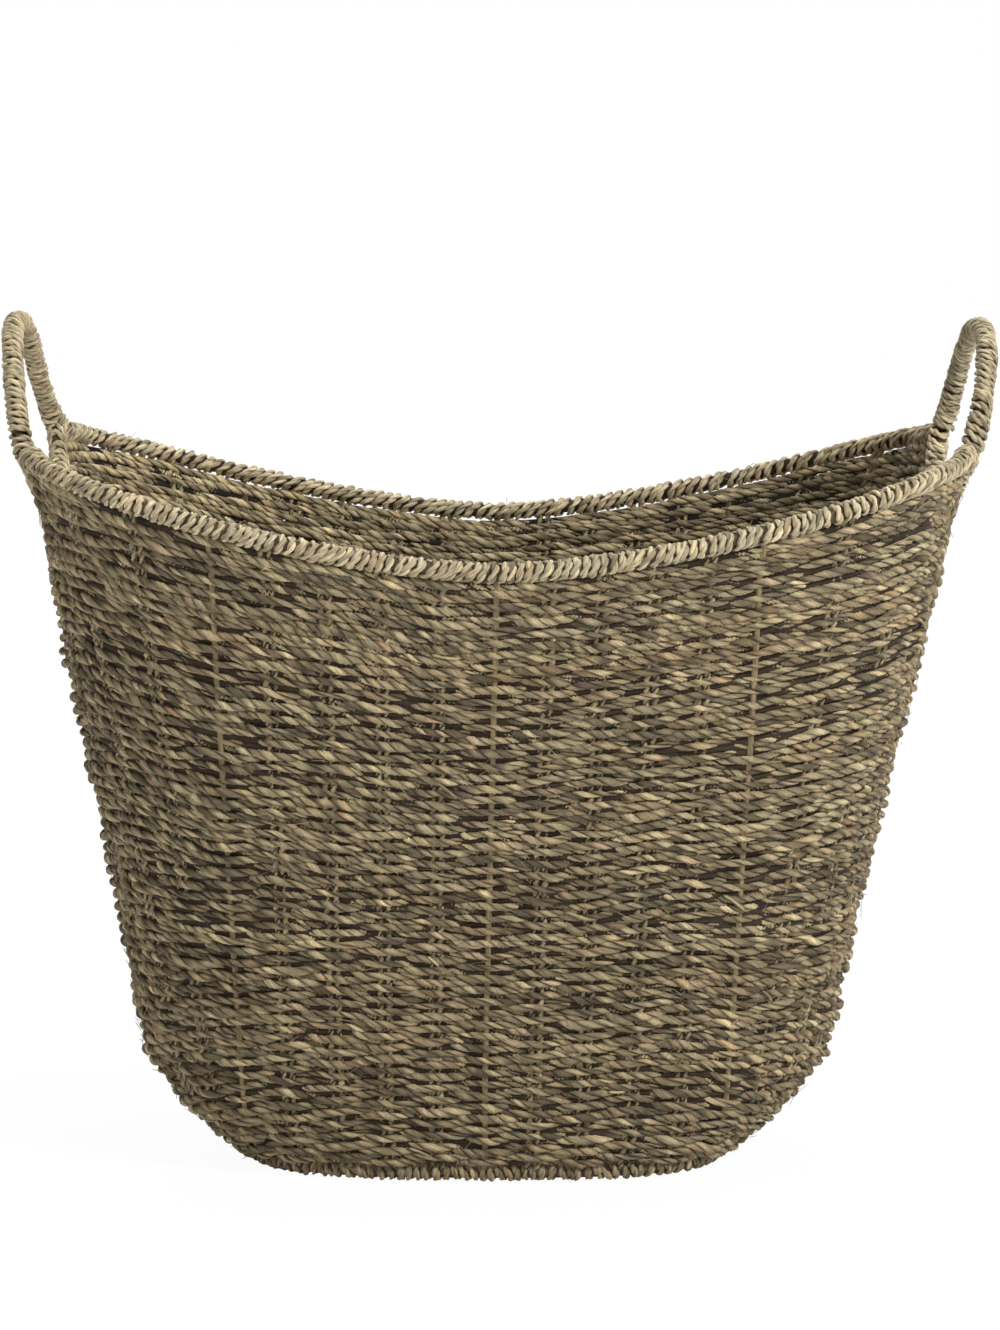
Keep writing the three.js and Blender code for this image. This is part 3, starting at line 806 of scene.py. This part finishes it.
def stakes_and_uprights():
    rng = rng_for("stakes")
    rows, out, up = wall_lines(np.linspace(0, 1, UPRIGHT_LEVELS), UPRIGHT_GAP,
                               UPRIGHT_GAP)
    stakes, stake_nodes = Strands(), []
    frames, frame_nodes = Strands(FRAME_SIDES), []
    tones = colours_of(STRAW * STAKE_SHADE, STAKE_SPREAD, ())
    for upright in range(UPRIGHTS):
        i = upright * (SAMPLES // UPRIGHTS)
        line, side = rows[:, i], out[:, i]
        if upright % FRAME_EVERY == 0:
            frame_nodes.append(f"frame_upright_{len(frame_nodes) + 1}")
            points, _, _ = resample(np.hstack([line, side]), FRAME_STEP, False)
            tone = TAN * between(rng, *FRAME_TONES, (len(points), 1))
            frames.add(points[:, :3], points[:, 3:], FRAME_RADIUS, FRAME_RADIUS, tone, False)
        else:
            stake_nodes.append(f"stake_{len(stake_nodes) + 1:02d}")
            around = np.cross(up[:, i], side)
            for shift in (-STAKE_APART, STAKE_APART):
                twisted(stakes, rng, line + around * shift, side, STAKE_PITCH, STAKE_PLY,
                        STAKE_HELIX, tones, False, STAKE_STEP)
    make_piece("seagrass_stakes", stakes, cord_material, stake_nodes)
    make_piece("frame_uprights", frames, wrap_material, frame_nodes)


# Wraps: their cord, and the imported core under it, cased in a dark tube of painted shade
WRAP_HELIX, WRAP_TWIST, WRAP_SQUASH = 0.85, 11.0, 0.7
WRAP_OUTWARD, WRAP_ALONG = 0.85, 1.1
WRAP_STEP, FEWEST_PER_TURN = 1.4, 8
PATH_STEP, CORE_EVERY, CORE_RADIUS, CORE_PAINTED_SHADE = 1.0, 3, 3.3, 0.45

# Uneven turns and uneven cord: the length of each change, for the turns in pitches, and its
# size
UNEVEN_PITCH, UNEVEN_TILT = (1.4, 0.2), (2.5, 0.16)
UNEVEN_SLOPE, UNEVEN_SWELL = (2.5, 0.12), (1.3, 0.05)
UNEVEN_TWIST, UNEVEN_THICK, WRAP_THICK_RANGE = (24, 0.7), (11, 0.2), (0.6, 1.4)


def winding(pitches, length, radius, closed):
    """Angle of each point of a winding, its place along the path, and the mean pitch."""
    gap = length / (len(pitches) if closed else len(pitches) - 1)
    wound = np.concatenate([[0], np.cumsum(gap / (pitches if closed else pitches[1:]))])
    turns = int(round(wound[-1]))
    per_turn = max(int(round(TAU * radius / WRAP_STEP)), FEWEST_PER_TURN)
    theta = np.arange(turns * per_turn + (0 if closed else 1)) / per_turn * TAU
    even = np.interp(theta / TAU, wound * turns / wound[-1], gap * np.arange(len(wound)))
    return theta, even, length / turns


def wound_plies(strands, rng, cord, spokes, width, colours, closed):
    """The two plies of a wound cord. spokes point away from the path that it is wound round."""
    forward = tangents(cord, closed)
    spokes = unit(spokes - dot(spokes, forward) * forward)
    aside = np.cross(forward, spokes)
    run = places(cord)
    total = run[-1] + (np.linalg.norm(cord[0] - cord[-1]) if closed else 0)
    spin = (rng.random() * TAU + TAU * round(total / WRAP_TWIST) * run / total
            + line_noise(rng, run, *UNEVEN_TWIST))
    for side in (0, math.pi):
        radial = (spokes * np.cos(spin + side)[:, None] * WRAP_SQUASH
                  + aside * np.sin(spin + side)[:, None])
        thick = width * np.clip(1 + line_noise(rng, run, *UNEVEN_THICK), *WRAP_THICK_RANGE)
        strands.add(cord + radial * (WRAP_HELIX * width)[:, None], spokes,
                    thick * WRAP_OUTWARD, thick * WRAP_ALONG, colours(rng, run), closed)


def wrap(strands, rng, path, outward, pitch, radius, tilt, colours, closed, ply=1.0,
         swell=1.0, slope=0.0, hand=1, core=CORE_RADIUS):
    """Two-ply cord wound round a path, over a core of packed fibre coloured as painted shade.

    tilt slants the turns seen from outside and slope those seen from the side; swell widens
    the winding; hand -1 winds it the other way."""
    extras = [np.broadcast_to(value, len(path))[:, None] for value in (tilt, swell, pitch, ply)]
    outward = np.broadcast_to(outward, path.shape)
    line, place, length = resample(np.hstack([path, outward] + extras), PATH_STEP, closed)
    middle, out = line[:, :3], line[:, 3:6]
    tilts, swells, pitches, plies = line[:, 6:].T
    forward = tangents(middle, closed)
    out = unit(out - dot(out, forward) * forward)
    up = np.cross(forward, out)
    wide = core * swells[::CORE_EVERY]
    # The core tube's dark brown is painted shade in the gaps between the turns
    strands.add(middle[::CORE_EVERY], out[::CORE_EVERY], wide, wide, BROWN * CORE_PAINTED_SHADE, closed)
    theta, even, mean_pitch = winding(pitches, length, radius, closed)

    def uneven(pitches_long, size):
        return line_noise(rng, even + 1, mean_pitch * pitches_long, size)

    shifted = even + uneven(UNEVEN_PITCH[0], mean_pitch * UNEVEN_PITCH[1])
    tilts = np.interp(even, place, tilts) + uneven(*UNEVEN_TILT)
    slopes = slope + uneven(*UNEVEN_SLOPE)
    spot = shifted - tilts * radius * np.sin(theta) + slopes * radius * np.cos(theta)
    spot = np.mod(spot, length) if closed else np.clip(spot, 0, length)

    def at(vectors):
        period = length if closed else None
        return np.stack([np.interp(spot, place, column, period=period)
                         for column in vectors.T], 1)

    size = np.interp(even, place, swells) * (1 + uneven(*UNEVEN_SWELL))
    spokes = (unit(at(out)) * np.cos(theta)[:, None]
              + unit(at(up)) * hand * np.sin(theta)[:, None])
    cord = at(middle) + spokes * (radius * size)[:, None]
    width = np.interp(even, place, plies)
    wound_plies(strands, rng, cord, spokes, width, colours, closed)


# Rim binding: its tilts, pitches and plies are for the front and the back of the rim, and it
# swells where the handles' legs come up
# Sides of the bindings' plies, and how dark the painted shade on their side toward the core is
BINDING_SIDES, BINDING_PAINTED_ROOT_SHADE = 7, 0.74
RIM_UP_LEVELS = 3
RIM_BACK_ZONE = (-60, 120)
RIM_TILTS, RIM_UNEVEN, RIM_WAVES = (0.75, -1.4), 0.25, (5, 30)
RIM_PITCHES, RIM_PLIES, RIM_WRAP_RADIUS = (4.3, 5.4), (1.02, 0.98), 3.75
RIM_SPREAD, RIM_LIGHTER = 0.3, 1.3
LEFT_FOOT_Y, RIGHT_FOOT_Y, FOOT_WIDTH, FOOT_SWELL, FOOT_FROM_X = 84, 72, 14, 0.3, 150


def rim_frame():
    rim = GRID[-1]
    around = tangents(rim, True)
    up = rim - GRID[-1 - RIM_UP_LEVELS]
    up = unit(up - dot(up, around) * around)
    return rim, np.cross(around, up), up


def rim_binding():
    rng = rng_for("rim")
    rim, out, _ = rim_frame()
    strands = Strands(BINDING_SIDES, BINDING_PAINTED_ROOT_SHADE)
    x, y = rim[:, 0], rim[:, 1]
    back = ramp(y, *RIM_BACK_ZONE)
    tilt = lerp(*RIM_TILTS, back) + RIM_UNEVEN * ring_noise(rng, len(y), *RIM_WAVES)
    foot = np.where(x < 0, LEFT_FOOT_Y, RIGHT_FOOT_Y)
    near_foot = np.exp(-((np.abs(y) - foot) / FOOT_WIDTH) ** 2) * (np.abs(x) > FOOT_FROM_X)
    wrap(strands, rng, rim, out, lerp(*RIM_PITCHES, back), RIM_WRAP_RADIUS, tilt,
         colours_of(CREAM, RIM_SPREAD, WRAP_ACCENTS, RIM_LIGHTER), True,
         ply=lerp(*RIM_PLIES, back), swell=1 + FOOT_SWELL * near_foot)
    make_piece("rim_binding_wrap", strands, wrap_material, ["rim_binding"])


# Base binding
BASE_WRAP_PITCH, BASE_WRAP_RADIUS, BASE_SPREAD = 4.4, 3.4, 0.2
BASE_UNEVEN, BASE_WAVES = 0.5, (10, 60)


def base_binding():
    rng = rng_for("base")
    ring = GRID[0]
    around = tangents(ring, True)
    out = np.stack([around[:, 1], -around[:, 0], 0 * around[:, 0]], 1)
    strands = Strands()
    tilt = BASE_UNEVEN * ring_noise(rng, len(ring), *BASE_WAVES)
    wrap(strands, rng, ring, out, BASE_WRAP_PITCH, BASE_WRAP_RADIUS, tilt,
         colours_of(OLIVE, BASE_SPREAD, WALL_ACCENTS), True)
    make_piece("base_binding_wrap", strands, wrap_material, ["base_binding"],
               floor=True)


# Handle bindings. A cut is a number of points, one at about each millimetre of the path, and
# a minus sign counts from the front foot
HANDLE_POINTS, HANDLE_STEP = 400, 1.0
HANDLE_CORE_CUT, HANDLE_CORE_EVERY, HANDLE_CORE_RADIUS = 3, 3, 2.3
HANDLE_CORE_SHADE, HANDLE_PACK = 0.7, 3.5
BACK_FOOT_CUT, FOOT_TURNS_FROM, FOOT_TURNS_TO = 5, -13, -4
HANDLE_PITCH, HANDLE_RADIUS, HANDLE_PLY, HANDLE_SLOPE = 3.5, 4.0, 0.94, 0.18
HANDLE_TILT, HANDLE_SWELL, HANDLE_UNEVEN = (18, 0.3), 1.05, (12, 0.05)
LEG_SWELL, LEG_SWELL_LENGTH = 0.22, 16
HANDLE_SPREAD, HANDLE_OLIVE, HANDLE_LIGHTER = 0.3, 0.2, 1.2
FOOT_TURNS_RADIUS = 4.4


def handle_path(shape):
    """Middle line of a handle, from its back foot over its arch to its front foot."""
    foot_half = shape["half"] + shape["spread"]
    foot_x = oval_reach(RIM_HALF_LENGTH, foot_half, RIM_HALF_DEPTH, RIM_POWER)
    foot_z = rim_height(foot_x, foot_half)
    turn = np.linspace(0, math.pi, HANDLE_POINTS)
    rise = np.sin(turn) ** (2 / shape["power"])
    side = np.sign(np.cos(turn)) * np.abs(np.cos(turn)) ** (2 / shape["power"])
    half = shape["half"] + shape["spread"] * (1 - rise) ** LEG_SPREAD_POWER
    return np.stack([shape["sign"] * (foot_x + shape["lean"] * rise ** shape["lean_power"]),
                     half * side, lerp(foot_z, shape["top"], rise)], 1)


def handle_binding(shape):
    word = shape["word"]
    rng = rng_for("handle" + word)
    path, place, length = resample(handle_path(shape), HANDLE_STEP, False)
    strands = Strands(BINDING_SIDES, BINDING_PAINTED_ROOT_SHADE)
    core = path[HANDLE_CORE_CUT:-HANDLE_CORE_CUT:HANDLE_CORE_EVERY]
    foot = path[FOOT_TURNS_FROM:FOOT_TURNS_TO]
    path, place = path[BACK_FOOT_CUT:-shape["bare"]], place[BACK_FOOT_CUT:-shape["bare"]]
    away = np.array([shape["sign"], 0.0, 0.0])
    strands.add(core, away, HANDLE_CORE_RADIUS, HANDLE_CORE_RADIUS,
                BROWN * HANDLE_CORE_SHADE, False)
    forward = tangents(path, False)
    out = unit(away - dot(away, forward) * forward)
    from_foot = np.minimum(place, length - place)
    tilt = line_noise(rng, place, *HANDLE_TILT)
    swell = (HANDLE_SWELL + LEG_SWELL * np.exp(-(from_foot / LEG_SWELL_LENGTH) ** 2)
             + line_noise(rng, place, *HANDLE_UNEVEN))
    base = lerp(CREAM, OLIVE, HANDLE_OLIVE)
    wrap(strands, rng, path, out, HANDLE_PITCH, HANDLE_RADIUS, tilt,
         colours_of(base, HANDLE_SPREAD, WRAP_ACCENTS, HANDLE_LIGHTER), False,
         ply=HANDLE_PLY, swell=swell, slope=HANDLE_SLOPE * shape["sign"], hand=-1,
         core=HANDLE_PACK)
    if shape["foot_turns"]:
        wrap(strands, rng, foot, out[-1], HANDLE_PITCH, FOOT_TURNS_RADIUS, 0.0,
             colours_of(CREAM, HANDLE_SPREAD, WRAP_ACCENTS), False, hand=-1,
             core=HANDLE_PACK)
    make_piece(f"handle_wrap_{word}", strands, wrap_material,
               [f"handle_binding_{word}", f"handle_core_{word}"])


# Base panel: rows of cord along it, woven round bars of cord across it
PANEL_INSET, PANEL_PITCH, PANEL_Z, PANEL_DEPTH = 5, 3.0, 5.0, 1.9
PANEL_Y_CHANGE, PANEL_STEP, PANEL_SPREAD = 0.3, 1.8, 0.25
PANEL_CORD_PITCH, PANEL_PLY, PANEL_HELIX = 12.0, 1.05, 0.95
BARS_EACH_SIDE, BAR_SPACING, BAR_POINTS, BAR_SHADE = 4, 23.0, 40, 0.8
BAR_CORD_PITCH, BAR_PLY, BAR_HELIX = 9.0, 0.9, 0.8
FEWEST_POINTS = 8


def base_panel():
    rng = rng_for("panel")
    strands = Strands()
    half_length, half_depth = BASE_HALF_LENGTH - PANEL_INSET, BASE_HALF_DEPTH - PANEL_INSET
    upward = np.array([0.0, 0.0, 1.0])
    row_colour = colours_of(OLIVE, PANEL_SPREAD, WALL_ACCENTS)
    bar_colour = colours_of(BROWN * BAR_SHADE, PANEL_SPREAD, ())
    count = int(2 * half_depth / PANEL_PITCH)
    for row in range(count):
        y = -half_depth + (row + 0.5) * 2 * half_depth / count
        reach = oval_reach(half_length, y, half_depth, BASE_POWER)
        x = np.linspace(-reach, reach, max(int(reach), FEWEST_POINTS))
        z = PANEL_Z + PANEL_DEPTH * np.cos(math.pi * (x / BAR_SPACING + row))
        uneven_y = np.full_like(x, y) + PANEL_Y_CHANGE * rng.normal()
        line = np.stack([x - BASE_LEAN, uneven_y, z], 1)
        twisted(strands, rng, line, upward, PANEL_CORD_PITCH, PANEL_PLY, PANEL_HELIX,
                row_colour, False, PANEL_STEP)
    for bar in range(-BARS_EACH_SIDE, BARS_EACH_SIDE + 1):
        x = bar * BAR_SPACING
        reach = oval_reach(half_depth, x, half_length, BASE_POWER)
        y = np.linspace(-reach, reach, BAR_POINTS)
        line = np.stack([np.full_like(y, x - BASE_LEAN), y, np.full_like(y, PANEL_Z)], 1)
        twisted(strands, rng, line, upward, BAR_CORD_PITCH, BAR_PLY, BAR_HELIX, bar_colour,
                False, PANEL_STEP)
    make_piece("woven_base_panel", strands, cord_material, ["woven_base"],
               floor=True)


# Loose fibres: thin ones and broad leaf ends on the wall, and thin ones on the rim. Each kind
# has its half-widths, how far off the surface it starts, and its random ranges
FIBRE_SIDES, FIBRE_LEVELS, FIBRE_BOTTOM, FIBRE_TOP, INSIDE_SHARE = 3, 80, 5.8, 5.4, 0.3
THIN = {"count": 1300, "points": 6, "width": 0.16, "off": 1.2, "length": (4, 15),
        "around": (0.5, 1), "up": 0.5, "lift": (0.3, 1.7), "power": 1.6, "bend": 1.6,
        "tones": (0.8, 1.2)}
LEAF = {"count": 90, "points": 8, "thickness": 0.28, "widths": (0.7, 1.2), "off": 0.7,
        "length": (6, 14), "around": (0.8, 1), "down": (0.1, 0.6), "lift": (1.0, 2.0),
        "power": 0.7, "bend": 2.5, "tones": (0.85, 1.25), "levels": (2, 78)}
RIM_THIN = {"count": 110, "points": 6, "width": 0.15, "off": 4.9, "length": (3, 7),
            "up": 0.6, "lift": (0.2, 1.2), "power": 1.5, "tones": (0.8, 1.15)}


def wall_spot(rng, wall, first, last):
    """A random place on the wall, the ways out and up there, and the side, -1 for inside."""
    rows, out, up = wall
    level, i = rng.integers(first, last), rng.integers(0, SAMPLES)
    side = -1 if rng.random() < INSIDE_SHARE else 1
    return rows[level, i], out[level, i], up[level, i], side


def thin_fibre(strands, rng, wall):
    spot, out, up, side = wall_spot(rng, wall, 0, FIBRE_LEVELS)
    off, around = out * side, np.cross(up, out)
    length = rng.uniform(*THIN["length"])
    t = np.linspace(0, 1, THIN["points"])[:, None]
    way = (around * rng.choice([-1, 1]) * rng.uniform(*THIN["around"])
           + up * rng.normal() * THIN["up"])
    lift = rng.uniform(*THIN["lift"])
    line = (spot + off * (WEAVE_DEPTH + THIN["off"]) + unit(way) * length * t
            + off * lift * (t ** THIN["power"]) + up * rng.normal() * THIN["bend"] * t * t)
    tone = lerp(OLIVE, STRAW, rng.random()) * rng.uniform(*THIN["tones"])
    strands.add(line, off, THIN["width"], THIN["width"], tone, False, taper=True)


def leaf_end(strands, rng, wall):
    spot, out, up, side = wall_spot(rng, wall, *LEAF["levels"])
    off, around = out * side, np.cross(up, out) * side
    t = np.linspace(0, 1, LEAF["points"])[:, None]
    way = unit(around * rng.uniform(*LEAF["around"]) - up * rng.uniform(*LEAF["down"]))
    line = (spot + off * (WEAVE_DEPTH + LEAF["off"]) + way * rng.uniform(*LEAF["length"]) * t
            + off * rng.uniform(*LEAF["lift"]) * t ** LEAF["power"]
            + up * rng.normal() * LEAF["bend"] * t * t)
    tone = lerp(OLIVE, STRAW, rng.random()) * rng.uniform(*LEAF["tones"])
    strands.add(line, off, LEAF["thickness"], rng.uniform(*LEAF["widths"]), tone, False,
                taper=True)


def rim_fibre(strands, rng, rim, out, up):
    i = rng.integers(0, SAMPLES)
    angle = rng.random() * TAU
    off = unit(out[i] * math.cos(angle) + up[i] * math.sin(angle))
    around = np.cross(up[i], out[i])
    t = np.linspace(0, 1, RIM_THIN["points"])[:, None]
    way = unit(around * rng.normal() + up[i] * rng.normal() * RIM_THIN["up"])
    line = (rim[i] + off * RIM_THIN["off"] + way * rng.uniform(*RIM_THIN["length"]) * t
            + off * rng.uniform(*RIM_THIN["lift"]) * t ** RIM_THIN["power"])
    tone = STRAW * rng.uniform(*RIM_THIN["tones"])
    strands.add(line, off, RIM_THIN["width"], RIM_THIN["width"], tone, False, taper=True)


def loose_fibres():
    rng = rng_for("fibres")
    strands = Strands(FIBRE_SIDES)
    wall = wall_lines(np.linspace(0.01, 0.99, FIBRE_LEVELS), FIBRE_BOTTOM, FIBRE_TOP)
    for _ in range(THIN["count"]):
        thin_fibre(strands, rng, wall)
    for _ in range(LEAF["count"]):
        leaf_end(strands, rng, wall)
    for _ in range(RIM_THIN["count"]):
        rim_fibre(strands, rng, *rim_frame())
    make_piece("loose_fibres", strands, wrap_material, [], floor=True)


# Stage, in metres. A lamp is a name, a place, a side and a power
FLOOR_SIZE = 12
LAMP_TARGET = (0, 0, 0.2)
LAMPS = (("key", (1.8, -1.6, 1.8), 0.6, 56),
         ("top", (0.2, 0.2, 2.6), 1.4, 26),
         ("fill", (-1.9, -1.5, 1.2), 1.6, 9),
         ("back", (-0.6, 2.2, 1.4), 1.6, 20))
SKY_LIGHT, SKY_SEEN = 0.2, 1.0
FOCAL_PIXELS, PICTURE_PIXELS, SENSOR_HEIGHT = 4229, 1330, 36.0
CAMERA_PLACE, CAMERA_CLIP = (0, -2.1, 0.527), 0.05
CAMERA_TURN, CAMERA_TILT, CAMERA_ROLL = -0.0007, 0.133, 0.002


def stage():
    bpy.ops.mesh.primitive_plane_add(size=FLOOR_SIZE, location=(0, 0, 0))
    floor = bpy.context.object
    floor.name = "floor"
    floor.data.materials.append(floor_material())


def area_light(name, place, side, power):
    data = bpy.data.lights.new(name, "AREA")
    data.shape = "RECTANGLE"
    data.size = data.size_y = side
    data.energy = power
    lamp = add_object(name, data)
    z = unit(np.subtract(place, LAMP_TARGET))
    x = unit(np.cross([0, 0, 1.0], z))
    y = np.cross(z, x)
    lamp.matrix_world = Matrix([*zip(x, y, z, place), (0, 0, 0, 1)])


def lights():
    world = bpy.context.scene.world or bpy.data.worlds.new("world")
    bpy.context.scene.world = world
    world.use_nodes = True
    nodes = world.node_tree.nodes
    back = set_inputs(nodes["Background"], {"Color": (1, 1, 1, 1)})
    path = nodes.new("ShaderNodeLightPath")
    level = set_inputs(nodes.new("ShaderNodeMapRange"), {
        "To Min": SKY_LIGHT, "To Max": SKY_SEEN})
    link(path, "Is Camera Ray", level, "Value")
    link(level, "Result", back, "Strength")
    for lamp in LAMPS:
        area_light(*lamp)


def camera():
    data = bpy.data.cameras.new("camera")
    data.sensor_fit = "VERTICAL"
    data.sensor_height = SENSOR_HEIGHT
    data.lens = FOCAL_PIXELS / PICTURE_PIXELS * SENSOR_HEIGHT
    data.clip_start = CAMERA_CLIP
    cam = add_object("camera", data)
    turn = (Matrix.Rotation(CAMERA_TURN, 4, "Z")
            @ Matrix.Rotation(math.pi / 2 - CAMERA_TILT, 4, "X")
            @ Matrix.Rotation(CAMERA_ROLL, 4, "Z"))
    cam.matrix_world = Matrix.Translation(CAMERA_PLACE) @ turn
    bpy.context.scene.camera = cam


def carried_over():
    """The wires that show through the weave keep their solids and get a material."""
    for name in ("rim_hoop", "base_hoop", *(f"base_cross_wire_{k}" for k in (1, 2, 3))):
        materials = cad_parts[name].data.materials
        materials.clear()
        materials.append(wire_mat)


stage()
camera()
lights()
carried_over()
weave_wall()
stakes_and_uprights()
rim_binding()
base_binding()
handle_binding(LEFT_HANDLE)
handle_binding(RIGHT_HANDLE)
base_panel()
loose_fibres()

bpy.context.scene.view_settings.view_transform = "Standard"
